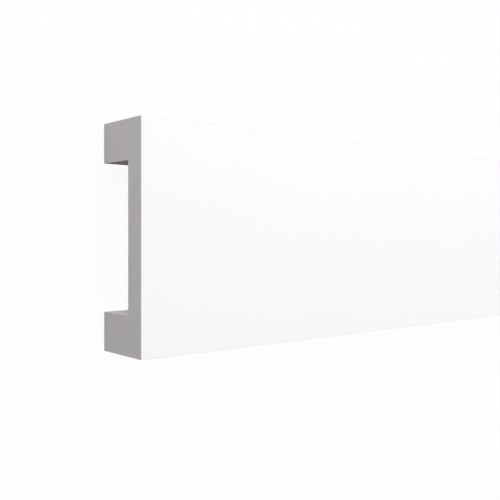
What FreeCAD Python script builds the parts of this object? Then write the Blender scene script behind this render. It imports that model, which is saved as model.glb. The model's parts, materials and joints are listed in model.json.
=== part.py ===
"""Panel moulding: one sawn length of white polymer wall trim with a plain flat face and a channelled back.

The moulding lies on its back, as it does in store. X runs along the stock, Y up the face as it hangs on a
wall, and Z out of that wall. The origin is on the plane of the feet, midway along the stock and under the
middle of the face.
"""

import FreeCAD, Part
import Sketcher
import os

NODE = "panel_moulding"
PARTS_FOLDER = "parts"

# Driving dimensions in millimetres: name, size, what it measures.
DIMENSIONS = (
    ("stock_length", 2000.0, "length of one stick of stock, sawn square at both ends"),
    ("face_height", 80.0, "flat face from edge to edge"),
    ("overall_depth", 25.0, "from the wall to the face"),
    ("web_thickness", 8.4, "wall of the moulding behind the face, between the legs"),
    ("leg_height", 13.9, "each leg that beds on the wall, measured up the face"),
    ("face_arris_radius", 0.3, "rounding along the two long edges of the face"),
    ("back_arris_radius", 0.3, "rounding along the four long edges of the legs' feet"),
    ("root_radius", 0.4, "fillet where each leg meets the back of the web"),
)

# How near an edge has to lie to the place it is looked for, in millimetres.
PLACE_TOLERANCE = 1e-4

MM3_PER_LITRE = 1e6


def make_sheet(doc):
    """The spreadsheet that drives the model: one named cell for each dimension."""
    sheet = doc.addObject("Spreadsheet::Sheet", "dimensions")
    for row, (name, size, meaning) in enumerate(DIMENSIONS, start=1):
        sheet.set(f"A{row}", name)
        sheet.set(f"B{row}", str(size))
        sheet.set(f"C{row}", meaning)
        sheet.setAlias(f"B{row}", name)
    doc.recompute()
    return sheet


def section_corners(sheet):
    """Corners of the channel section as (up the face, out of the wall), in order round the outline."""
    half_face = sheet.face_height / 2
    half_gap = half_face - sheet.leg_height
    channel_depth = sheet.overall_depth - sheet.web_thickness
    return [
        (-half_face, 0),
        (-half_gap, 0),
        (-half_gap, channel_depth),
        (half_gap, channel_depth),
        (half_gap, 0),
        (half_face, 0),
        (half_face, sheet.overall_depth),
        (-half_face, sheet.overall_depth),
    ]


def origin_plane(body, role):
    """One of the body's own origin planes."""
    return next(feature for feature in body.Origin.OriginFeatures if feature.Role == role)


def draw_section(body, sheet):
    """The channel section, square to the stock and fully constrained from the sheet."""
    sketch = body.newObject("Sketcher::SketchObject", "channel_section")
    sketch.AttachmentSupport = [(origin_plane(body, "YZ_Plane"), "")]
    sketch.MapMode = "FlatFace"

    points = [FreeCAD.Vector(across, out, 0) for across, out in section_corners(sheet)]
    ends = points[1:] + points[:1]
    lines = sketch.addGeometry([Part.LineSegment(a, b) for a, b in zip(points, ends)], False)
    foot_low, leg_low, web_back, leg_high, foot_high, edge_high, face, edge_low = lines

    # Sketcher's own numbers for the two ends of a line and for the sketch's axes.
    start, end = 1, 2
    across_axis, out_axis = -1, -2
    for line, following in zip(lines, lines[1:] + lines[:1]):
        sketch.addConstraint(Sketcher.Constraint("Coincident", line, end, following, start))
    for line in (foot_low, foot_high):
        sketch.addConstraint(Sketcher.Constraint("Horizontal", line))
        sketch.addConstraint(Sketcher.Constraint("PointOnObject", line, start, across_axis))
    for line in (leg_low, leg_high, edge_high, edge_low):
        sketch.addConstraint(Sketcher.Constraint("Vertical", line))
    for line in (web_back, face):
        sketch.addConstraint(Sketcher.Constraint("Symmetric", line, start, line, end, out_axis))

    measured = (
        ("face_height", "DistanceX", (face, end), (face, start)),
        ("overall_depth", "DistanceY", (edge_high, start), (edge_high, end)),
        ("leg_height", "DistanceX", (foot_low, start), (foot_low, end)),
        ("web_thickness", "DistanceY", (web_back, end), (face, start)),
    )
    for name, direction, near, far in measured:
        index = sketch.addConstraint(Sketcher.Constraint(direction, *near, *far, getattr(sheet, name)))
        sketch.renameConstraint(index, name)
        sketch.setExpression(f"Constraints.{name}", f"{sheet.Name}.{name}")
    return sketch


def extrude_stock(body, sketch, sheet):
    """The section run out to the length of the stock, half each way from the section."""
    stock = body.newObject("PartDesign::Pad", "stock")
    stock.Profile = sketch
    stock.SideType = "Symmetric"
    stock.setExpression("Length", f"{sheet.Name}.stock_length")
    return stock


def long_edges(shape, places):
    """Names of the edges that run the length of the stock through the given places of the section."""
    names = []
    for number, edge in enumerate(shape.Edges, start=1):
        spots = [(vertex.Y, vertex.Z) for vertex in edge.Vertexes]
        for place in places:
            if all(abs(a - b) < PLACE_TOLERANCE for spot in spots for a, b in zip(spot, place)):
                names.append(f"Edge{number}")
    if len(names) != len(places):
        raise RuntimeError(f"{len(places)} long edges are wanted and {len(names)} were found")
    return names


def round_edges(body, base, name, places, radius_name, sheet):
    """Rounds the long edges at those places of the section to one radius of the sheet."""
    rounding = body.newObject("PartDesign::Fillet", name)
    rounding.Base = (base, long_edges(base.Shape, places))
    rounding.setExpression("Radius", f"{sheet.Name}.{radius_name}")
    body.Document.recompute()
    return rounding


def make_moulding(doc, sheet):
    """The moulding: the channel section extruded, then its roots and arrises rounded."""
    body = doc.addObject("PartDesign::Body", NODE)
    body.Label = NODE
    stock = extrude_stock(body, draw_section(body, sheet), sheet)
    doc.recompute()

    corners = section_corners(sheet)
    low_side, low_mouth, low_root, high_root, high_mouth, high_side, high_face, low_face = corners
    roots = (low_root, high_root)
    feet = (low_side, low_mouth, high_mouth, high_side)
    face = (low_face, high_face)
    rooted = round_edges(body, stock, "channel_roots", roots, "root_radius", sheet)
    footed = round_edges(body, rooted, "feet_arrises", feet, "back_arris_radius", sheet)
    body.Tip = round_edges(body, footed, "face_arrises", face, "face_arris_radius", sheet)
    body.Placement = FreeCAD.Placement()
    doc.recompute()
    return body


def check(doc, bodies):
    """Stops the build if any object failed or a piece isn't one valid closed solid."""
    for item in doc.Objects:
        if {"Invalid", "Error"} & set(item.State):
            raise RuntimeError(f"{item.Label} failed: {item.State}")
    for body in bodies:
        shape = body.Shape
        if shape.isNull() or not shape.isValid() or len(shape.Solids) != 1:
            raise RuntimeError(f"{body.Label} is not one valid solid")


def main():
    doc = FreeCAD.newDocument("panel_moulding_stock")
    sheet = make_sheet(doc)
    bodies = [make_moulding(doc, sheet)]
    check(doc, bodies)

    os.makedirs(PARTS_FOLDER, exist_ok=True)
    for body in bodies:
        body.Shape.exportStep(os.path.join(PARTS_FOLDER, f"{body.Label}.step"))
        box = body.Shape.BoundBox
        print(f"{body.Label}: {box.XLength:.2f} x {box.YLength:.2f} x {box.ZLength:.2f} mm, "
              f"{body.Shape.Volume / MM3_PER_LITRE:.4f} litres, lowest point {box.ZMin:.4f}")


main()
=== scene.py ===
"""Panel moulding: a length of primed polymer wall trim, finished and lit on a pale studio floor.

Laid out as a Blender add-on and run as a script. Lengths are in metres in the moulding's own frame: X along
the stock, Y up the face as it hangs on a wall, Z out of the wall through the face. It lies on its back.
"""

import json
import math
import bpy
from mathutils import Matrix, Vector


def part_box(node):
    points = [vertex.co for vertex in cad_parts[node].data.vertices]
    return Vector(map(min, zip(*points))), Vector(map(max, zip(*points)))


bl_info = {
    "name": "Panel Moulding",
    "version": (1, 0, 0),
    "blender": (4, 5, 0),
    "location": "View3D > Sidebar > Moulding",
    "description": "Finishes a primed polymer panel moulding and sets it on a pale studio floor",
    "category": "Material",
}

from typing import NamedTuple

import bpy
from bpy.props import FloatProperty, FloatVectorProperty, PointerProperty
from mathutils import Quaternion, Vector

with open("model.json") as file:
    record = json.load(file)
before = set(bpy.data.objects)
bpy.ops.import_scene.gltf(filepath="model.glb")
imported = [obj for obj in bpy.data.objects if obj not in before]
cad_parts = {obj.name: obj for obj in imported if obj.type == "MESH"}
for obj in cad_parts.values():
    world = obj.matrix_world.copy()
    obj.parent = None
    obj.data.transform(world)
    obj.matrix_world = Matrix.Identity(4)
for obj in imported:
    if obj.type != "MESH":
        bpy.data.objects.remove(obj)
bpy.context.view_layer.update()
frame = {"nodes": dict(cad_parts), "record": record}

# The origin lies midway along the stock and under the middle of the face, on the plane of the feet.
NODE = "panel_moulding"
LOW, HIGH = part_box(NODE)
HALF_LENGTH, HALF_HEIGHT, DEPTH = HIGH
NEAR_END = Vector((LOW.x, 0, 0))

# The channel behind the face: the box that the record keeps free there, widened to take in its walls.
_, FREE_HALF_GAP, FREE_DEPTH = frame["record"]["physics"]["openings"][0]["box_m"][1]
WALL_REACH = 0.0008
CHANNEL_HALF_GAP = FREE_HALF_GAP + WALL_REACH
CHANNEL_DEPTH = FREE_DEPTH + WALL_REACH

# A surface that lies within this of a plane of the moulding's box is on that plane.
ON_PLANE = 0.00005


class Wire:
    """One output of a shader node. Arithmetic on it adds Math nodes to the same tree.

    The sign & takes the lower of two values and | the higher, so on masks they mean both and either.
    """

    def __init__(self, shader, socket):
        self.shader = shader
        self.socket = socket

    def output(self, name):
        """Another output of the same node."""
        return Wire(self.shader, self.socket.node.outputs[name])

    def __add__(self, other):
        return self.shader.maths("ADD", self, other)

    def __sub__(self, other):
        return self.shader.maths("SUBTRACT", self, other)

    def __rsub__(self, other):
        return self.shader.maths("SUBTRACT", other, self)

    def __mul__(self, other):
        return self.shader.maths("MULTIPLY", self, other)

    def __truediv__(self, other):
        return self.shader.maths("DIVIDE", self, other)

    def __pow__(self, other):
        return self.shader.maths("POWER", self, other)

    def __gt__(self, other):
        return self.shader.maths("GREATER_THAN", self, other)

    def __lt__(self, other):
        return self.shader.maths("LESS_THAN", self, other)

    def __and__(self, other):
        return self.shader.maths("MINIMUM", self, other)

    def __or__(self, other):
        return self.shader.maths("MAXIMUM", self, other)

    def __abs__(self):
        return self.shader.maths("ABSOLUTE", self)

    __radd__ = __add__
    __rmul__ = __mul__


# Numbers of the sockets that a Mix node uses for colours. Its other kinds of value share their names.
MIX_FACTOR, MIX_FIRST, MIX_SECOND, MIX_RESULT = 0, 6, 7, 2


class Shader:
    """The node tree of a material or a world, emptied and built up again."""

    def __init__(self, owner):
        owner.use_nodes = True
        self.nodes = owner.node_tree.nodes
        self.links = owner.node_tree.links
        self.nodes.clear()

    def add(self, kind, settings, sockets, output=0):
        """A node of that kind: first its settings, then a value or a wire for each of its sockets."""
        node = self.nodes.new(kind)
        for name, value in settings.items():
            setattr(node, name, value)
        for key, value in sockets.items():
            if isinstance(value, Wire):
                self.links.new(value.socket, node.inputs[key])
            else:
                node.inputs[key].default_value = value
        return Wire(self, node.outputs[output]) if node.outputs else None

    def maths(self, operation, *values):
        """A Math node on those numbers and wires."""
        return self.add("ShaderNodeMath", {"operation": operation}, dict(enumerate(values)))

    def shaded(self, colour, factor):
        """A colour made lighter or darker by a factor."""
        sockets = {"Vector": tuple(colour), "Scale": factor}
        return self.add("ShaderNodeVectorMath", {"operation": "SCALE"}, sockets)

    def mixed(self, factor, first, second):
        """The first colour where the factor is 0, and the second where it is 1."""
        sockets = {MIX_FACTOR: factor, MIX_FIRST: first, MIX_SECOND: second}
        return self.add("ShaderNodeMix", {"data_type": "RGBA"}, sockets, output=MIX_RESULT)

    def grain(self, place, size, detail=2):
        """Noise from about -0.5 to 0.5, with blotches of about that size."""
        middle = 0.5
        sockets = {"Vector": place, "Scale": 1 / size, "Detail": detail}
        return self.add("ShaderNodeTexNoise", {}, sockets) - middle


def blend(factor, first, second):
    """The first value where the factor is 0, and the second where it is 1."""
    return first + (second - first) * factor


class MouldingFinish(bpy.types.PropertyGroup):
    """Colours and textures of the moulding's three finishes: primer, bare skin and sawn core. Skin and core
    greys hold painted shade.
    """

    primer_colour: FloatVectorProperty(
        name="Primer", description="White primer on the face and the outer sides",
        subtype="COLOR", min=0, max=1, default=(0.93, 0.911, 0.93))
    primer_roughness: FloatProperty(
        name="Primer roughness", description="Dullness of the primer, from a mirror at 0 to chalk at 1",
        subtype="FACTOR", min=0, max=1, default=0.85)
    primer_film: FloatProperty(
        name="Primer film", description="Thickness of the primer, which shows as a rim round the sawn ends",
        unit="LENGTH", min=0, default=0.00015)
    peel_size: FloatProperty(
        name="Peel size", description="Distance between the soft dimples of the sprayed primer",
        unit="LENGTH", min=0.0001, default=0.0018)
    peel_height: FloatProperty(
        name="Peel height", description="Height of the primer's dimples",
        unit="LENGTH", min=0, default=0.000004)
    # Greyer partly as unprimed skin and partly as painted shade inside the channel.
    skin_colour_and_channel_shade: FloatVectorProperty(
        name="Bare skin", description="Extruded skin with no primer, in the channel and under the feet",
        subtype="COLOR", min=0, max=1, default=(0.84, 0.81, 0.84))
    skin_roughness: FloatProperty(
        name="Skin roughness", description="Dullness of the bare skin",
        subtype="FACTOR", min=0, max=1, default=0.65)
    line_spacing: FloatProperty(
        name="Die line spacing", description="Distance between the fine lines that the die draws",
        unit="LENGTH", min=0.0001, default=0.0012)
    line_height: FloatProperty(
        name="Die line height", description="Height of the die's lines on the bare skin",
        unit="LENGTH", min=0, default=0.000006)
    # Grey partly from the bare foam and partly painted shade of the sawn ends, which face away from the
    # lamps.
    core_colour_and_end_shade: FloatVectorProperty(
        name="Sawn core", description="Foamed polymer laid open by the saw",
        subtype="COLOR", min=0, max=1, default=(0.74, 0.712, 0.74))
    core_roughness: FloatProperty(
        name="Core roughness", description="Dullness of the sawn foam",
        subtype="FACTOR", min=0, max=1, default=0.95)
    cell_size: FloatProperty(
        name="Cell size", description="Distance between the foam's cells",
        unit="LENGTH", min=0.0001, default=0.00045)
    cell_depth: FloatProperty(
        name="Cell depth", description="Depth of the cells that the saw opened",
        unit="LENGTH", min=0, default=0.000008)
    saw_radius: FloatProperty(
        name="Saw radius", description="Radius of the blade whose arcs show on the sawn ends",
        unit="LENGTH", min=0.1, default=0.125)
    saw_feed: FloatProperty(
        name="Saw feed", description="Distance between the saw's arcs",
        unit="LENGTH", min=0.0001, default=0.0011)
    saw_height: FloatProperty(
        name="Saw mark height", description="Height of the ridges between the saw's arcs",
        unit="LENGTH", min=0, default=0.000003)
    highlight: FloatProperty(
        name="Highlight", description="Strength of the reflections on all three finishes",
        subtype="FACTOR", min=0, max=1, default=0.2)


class StudioStage(bpy.types.PropertyGroup):
    """Lamps, sky, floor and camera. Left and right are as seen along the stock from its near end."""

    key_power: FloatProperty(
        name="Key strip", description="Power of the long lamp over the face",
        unit="POWER", min=0, default=4.7)
    left_power: FloatProperty(
        name="Left softbox", description="Power of the lamp beyond the near end",
        unit="POWER", min=0, default=5.6)
    right_power: FloatProperty(
        name="Right softbox", description="Power of the high lamp on the side of the face's lower edge",
        unit="POWER", min=0, default=96)
    back_power: FloatProperty(
        name="Back softbox", description="Power of the lamp beyond the far end",
        unit="POWER", min=0, default=8)
    sky_level: FloatProperty(
        name="Sky level", description="Strength of the even light from all round",
        subtype="FACTOR", min=0, max=1, default=0.14)
    floor_colour: FloatVectorProperty(
        name="Floor", description="Pale floor, as the camera sees it",
        subtype="COLOR", min=0, max=1, default=(1.0, 0.99, 1.0))
    floor_bounce: FloatProperty(
        name="Floor bounce", description="Share of its light that the floor throws back on the moulding",
        subtype="FACTOR", min=0, max=1, default=0.35)
    shadow_share: FloatProperty(
        name="Shadow", description="How much of the moulding's shadow shows on the floor",
        subtype="FACTOR", min=0, max=1, default=0.04)
    shadow_reach: FloatProperty(
        name="Shadow reach", description="Distance from the moulding over which its shadow fades out",
        unit="LENGTH", min=0.01, default=0.3)
    floor_size: FloatProperty(
        name="Floor size", description="Length of each side of the floor",
        unit="LENGTH", min=1, default=40)
    lens: FloatProperty(
        name="Lens", description="Focal length of the camera in millimetres",
        unit="CAMERA", min=10, default=51.72)
    camera_place: FloatVectorProperty(
        name="Camera place", description="Place of the camera from the foot of the near end",
        subtype="TRANSLATION", unit="LENGTH", default=(-0.12287, 0.00066, 0.2276))
    camera_turn: FloatProperty(
        name="Camera turn", description="Turn of the camera about the face's width, from straight down",
        subtype="ANGLE", default=math.radians(-39.842))
    camera_tip: FloatProperty(
        name="Camera tip", description="Tip of the camera towards the face's upper edge",
        subtype="ANGLE", default=math.radians(-1.088))
    camera_roll: FloatProperty(
        name="Camera roll", description="Roll of the camera about its own line of sight",
        subtype="ANGLE", default=math.radians(0.174))


class Finish(NamedTuple):
    """What a finish gives the surface: a colour, a roughness and a height in metres."""

    colour: Wire
    roughness: Wire | float
    height: Wire


class Place(NamedTuple):
    """Where a point of the moulding is: as a vector and along each axis."""

    vector: Wire
    along: Wire
    up: Wire
    out: Wire


def object_place(shader):
    """Object coordinates, which are the moulding's own frame."""
    vector = shader.add("ShaderNodeTexCoord", {}, {}, output="Object")
    split = shader.add("ShaderNodeSeparateXYZ", {}, {"Vector": vector}, output="X")
    return Place(vector, split, split.output("Y"), split.output("Z"))


def die_lines(shader, place, finish):
    """Lines that the die draws along the stock, which wander a little over its length."""
    squeezed = (finish.line_spacing / HALF_LENGTH, 1, 1)
    vector = shader.add("ShaderNodeVectorMath", {"operation": "MULTIPLY"}, {0: place.vector, 1: squeezed})
    return shader.grain(vector, finish.line_spacing, detail=3)


def primer(shader, place, finish, lines):
    """Sprayed primer: white and softly mottled, with a faint orange peel over traces of the die's lines."""
    cloud_size, cloud_share = 0.03, 0.012
    speck_size, speck_share = 0.0007, 0.008
    sheen_size, sheen_share = 0.008, 0.1
    lines_left = 0.4
    clouds = shader.grain(place.vector, cloud_size) * cloud_share
    specks = shader.grain(place.vector, speck_size) * speck_share
    colour = shader.shaded(finish.primer_colour, clouds + specks + 1)
    roughness = shader.grain(place.vector, sheen_size) * sheen_share + finish.primer_roughness
    peel = shader.grain(place.vector, finish.peel_size, detail=1) * finish.peel_height
    return Finish(colour, roughness, peel + lines * (finish.line_height * lines_left))


def bare_skin_and_channel_shade(shader, finish, lines):
    """Extruded skin as the die left it: satin, with the die's lines at full height. Its grey is partly its
    own, partly painted channel shade.
    """
    streak_share, sheen_share = 0.03, 0.12
    # The skin colour holds painted shade of the channel's inside as well as the skin's own grey.
    colour = shader.shaded(finish.skin_colour_and_channel_shade, lines * streak_share + 1)
    roughness = lines * sheen_share + finish.skin_roughness
    return Finish(colour, roughness, lines * finish.line_height)


def sawn_core_and_end_shade(shader, place, finish):
    """Foam laid open by the saw: fine cells under the blade's shallow arcs, in a grey that is partly
    painted shade of the ends.
    """
    cell_middle, cell_share = 0.4, 0.05
    blotch_size, blotch_share = 0.006, 0.02
    cells = shader.add("ShaderNodeTexVoronoi", {}, {"Vector": place.vector, "Scale": 1 / finish.cell_size})
    blotches = shader.grain(place.vector, blotch_size) * blotch_share
    # The core's colour carries painted shade of the sawn ends as well as the foam's own tone.
    colour = shader.shaded(finish.core_colour_and_end_shade, (cells - cell_middle) * cell_share + blotches + 1)

    # The blade's axle is this far under the feet, and its arcs wander by a share of the feed.
    axle_drop = 0.03
    wander_size, wander_share = 0.01, 0.8
    reach = (finish.saw_radius ** 2 - (place.out + axle_drop) ** 2) ** 0.5
    wander = shader.grain(place.vector, wander_size) * wander_share
    phase = (place.up - reach) / finish.saw_feed + wander
    ridges = shader.maths("SINE", phase * math.tau) * finish.saw_height
    return Finish(colour, finish.core_roughness, cells * finish.cell_depth + ridges)


def moulding_material(finish):
    """One material for the whole stock: each finish lies where the making leaves it. Skin and core carry
    painted shade.
    """
    material = bpy.data.materials.new("primed_polymer")
    shader = Shader(material)
    place = object_place(shader)
    lines = die_lines(shader, place, finish)
    coat = primer(shader, place, finish, lines)
    skin = bare_skin_and_channel_shade(shader, finish, lines)
    core = sawn_core_and_end_shade(shader, place, finish)

    in_channel = (abs(place.up) < CHANNEL_HALF_GAP) & (place.out < CHANNEL_DEPTH)
    under_foot = place.out < ON_PLANE
    bare = in_channel | under_foot
    film = (abs(place.up) > HALF_HEIGHT - finish.primer_film) | (place.out > DEPTH - finish.primer_film)
    sawn = (abs(place.along) > HALF_LENGTH - ON_PLANE) & (1 - film)

    colour = shader.mixed(sawn, shader.mixed(bare, coat.colour, skin.colour), core.colour)
    roughness = blend(sawn, blend(bare, coat.roughness, skin.roughness), core.roughness)
    height = blend(sawn, blend(bare, coat.height, skin.height), core.height)
    normal = shader.add("ShaderNodeBump", {}, {"Strength": 1, "Distance": 1, "Height": height})
    surface = shader.add("ShaderNodeBsdfPrincipled", {}, {
        "Base Color": colour,
        "Roughness": roughness,
        "Normal": normal,
        "Specular IOR Level": finish.highlight,
    })
    shader.add("ShaderNodeOutputMaterial", {}, {"Surface": surface})
    return material


class MOULDING_OT_finish_stock(bpy.types.Operator):
    """Give the moulding its primer, its bare extruded back and its sawn ends"""

    bl_idname = "moulding.finish_stock"
    bl_label = "Finish Stock"

    def execute(self, context):
        stock = frame["nodes"][NODE]
        material = moulding_material(context.scene.moulding_finish)
        for slot in stock.material_slots:
            slot.material = material
        return {"FINISHED"}


class Softbox(NamedTuple):
    """A soft rectangular lamp: its place, the point it faces, its sides and the property with its power.

    The rise is the angle at which its long side climbs towards the far end of the stock.
    """

    name: str
    place: tuple
    aim: tuple
    sides: tuple
    power: str
    rise: float = 0


SOFTBOXES = (
    Softbox("key_strip", (0.34, 0.145, 0.5), (0.34, 0, 0), (3.2, 0.35), "key_power", math.radians(5)),
    Softbox("left_softbox", (-1.42, 0.82, 0.3), (-1, 0, 0), (0.9, 0.6), "left_power"),
    Softbox("right_softbox", (-0.44, -3.5, 2.38), (-0.3, 0, 0), (1.2, 0.8), "right_power"),
    Softbox("back_softbox", (1.5, 2.4, 0.7), (0.6, 0, 0), (1.4, 0.8), "back_power"),
)

# How far the floor lies under the feet, so that the two don't share a plane.
FLOOR_GAP = 0.0001


def sight_rays(shader):
    """Two wires: 1 for rays from the camera, and 1 for those that a sheen or glass passes on."""
    camera = shader.add("ShaderNodeLightPath", {}, {}, output="Is Camera Ray")
    return camera, camera.output("Is Glossy Ray") | camera.output("Is Transmission Ray")


def floor_material(stage):
    """A pale floor that shows white, keeps a trace of the moulding's shadow and throws some light back.

    Where the camera or a reflection sees it, its own glow makes it white. Nothing else takes light from the
    glow, so it isn't sampled as a lamp, which would only make the picture grainier.
    """
    material = bpy.data.materials.new("studio_floor")
    material.cycles.emission_sampling = "NONE"
    shader = Shader(material)
    camera, passed_on = sight_rays(shader)
    place = object_place(shader)
    clearance = (abs(place.along) - HALF_LENGTH) | (abs(place.up) - HALF_HEIGHT)
    seen = camera | passed_on & (clearance > 0)
    near = (1 - clearance / stage.shadow_reach) & 1 | 0
    white = (*stage.floor_colour, 1)
    bounce = (*(level * stage.floor_bounce for level in stage.floor_colour), 1)
    lit = shader.add("ShaderNodeBsdfDiffuse", {}, {"Color": shader.mixed(seen, bounce, white)})
    plain = shader.add("ShaderNodeEmission", {}, {"Color": white, "Strength": 1})
    factor = seen * (1 - near * stage.shadow_share)
    surface = shader.add("ShaderNodeMixShader", {}, {0: factor, 1: lit, 2: plain})
    shader.add("ShaderNodeOutputMaterial", {}, {"Surface": surface})
    return material


def make_floor(stage):
    """The floor that the moulding lies on."""
    bpy.ops.mesh.primitive_plane_add(size=stage.floor_size, location=(0, 0, -FLOOR_GAP))
    floor = bpy.context.object
    floor.name = "studio_floor"
    floor.data.materials.append(floor_material(stage))


def make_sky(scene, stage):
    """White to the camera and in reflections, and otherwise dim even light for the moulding."""
    world = bpy.data.worlds.new("studio_sky")
    scene.world = world
    shader = Shader(world)
    camera, passed_on = sight_rays(shader)
    dim = (stage.sky_level, stage.sky_level, stage.sky_level, 1)
    white = (*stage.floor_colour, 1)
    colour = shader.mixed(camera | passed_on, dim, white)
    light = shader.add("ShaderNodeBackground", {}, {"Color": colour, "Strength": 1})
    shader.add("ShaderNodeOutputWorld", {}, {"Surface": light})


def hang_softbox(box, stage):
    """A lamp that lights the moulding and stays out of the picture."""
    facing = (Vector(box.aim) - Vector(box.place)).to_track_quat("-Z", "Y")
    tilted = facing @ Quaternion((0, 1, 0), box.rise)
    bpy.ops.object.light_add(type="AREA", location=box.place, rotation=tilted.to_euler())
    lamp = bpy.context.object
    lamp.name = box.name
    lamp.visible_camera = False
    lamp.data.shape = "RECTANGLE"
    lamp.data.size, lamp.data.size_y = box.sides
    lamp.data.energy = getattr(stage, box.power)


def set_camera(scene, stage):
    """The camera looks down on the face from beyond the near end, with the face's upper edge at the top.

    Its roll is applied first, then its tip and last its turn.
    """
    bpy.ops.object.camera_add(location=NEAR_END + Vector(stage.camera_place))
    camera = bpy.context.object
    camera.name = "studio_camera"
    camera.rotation_mode = "ZXY"
    camera.rotation_euler = (stage.camera_tip, stage.camera_turn, stage.camera_roll)
    camera.data.lens = stage.lens
    scene.camera = camera


class MOULDING_OT_set_stage(bpy.types.Operator):
    """Set up the floor, the lamps and the camera round the moulding"""

    bl_idname = "moulding.set_stage"
    bl_label = "Set Stage"

    def execute(self, context):
        scene = context.scene
        stage = scene.studio_stage
        scene.view_settings.view_transform = "Standard"
        make_floor(stage)
        make_sky(scene, stage)
        for box in SOFTBOXES:
            hang_softbox(box, stage)
        set_camera(scene, stage)
        return {"FINISHED"}


class MOULDING_PT_sidebar(bpy.types.Panel):
    """The moulding's finishes and its stage"""

    bl_label = "Panel Moulding"
    bl_space_type = "VIEW_3D"
    bl_region_type = "UI"
    bl_category = "Moulding"

    def draw(self, context):
        scene = context.scene
        groups = (
            (scene.moulding_finish, MOULDING_OT_finish_stock),
            (scene.studio_stage, MOULDING_OT_set_stage),
        )
        for group, operator in groups:
            box = self.layout.box()
            for name in group.__annotations__:
                box.prop(group, name)
            box.operator(operator.bl_idname)


CLASSES = (
    MouldingFinish,
    StudioStage,
    MOULDING_OT_finish_stock,
    MOULDING_OT_set_stage,
    MOULDING_PT_sidebar,
)


def register():
    for cls in CLASSES:
        bpy.utils.register_class(cls)
    bpy.types.Scene.moulding_finish = PointerProperty(type=MouldingFinish)
    bpy.types.Scene.studio_stage = PointerProperty(type=StudioStage)


def unregister():
    del bpy.types.Scene.studio_stage
    del bpy.types.Scene.moulding_finish
    for cls in reversed(CLASSES):
        bpy.utils.unregister_class(cls)


def main():
    register()
    bpy.ops.moulding.finish_stock()
    bpy.ops.moulding.set_stage()


if __name__ == "__main__":
    main()
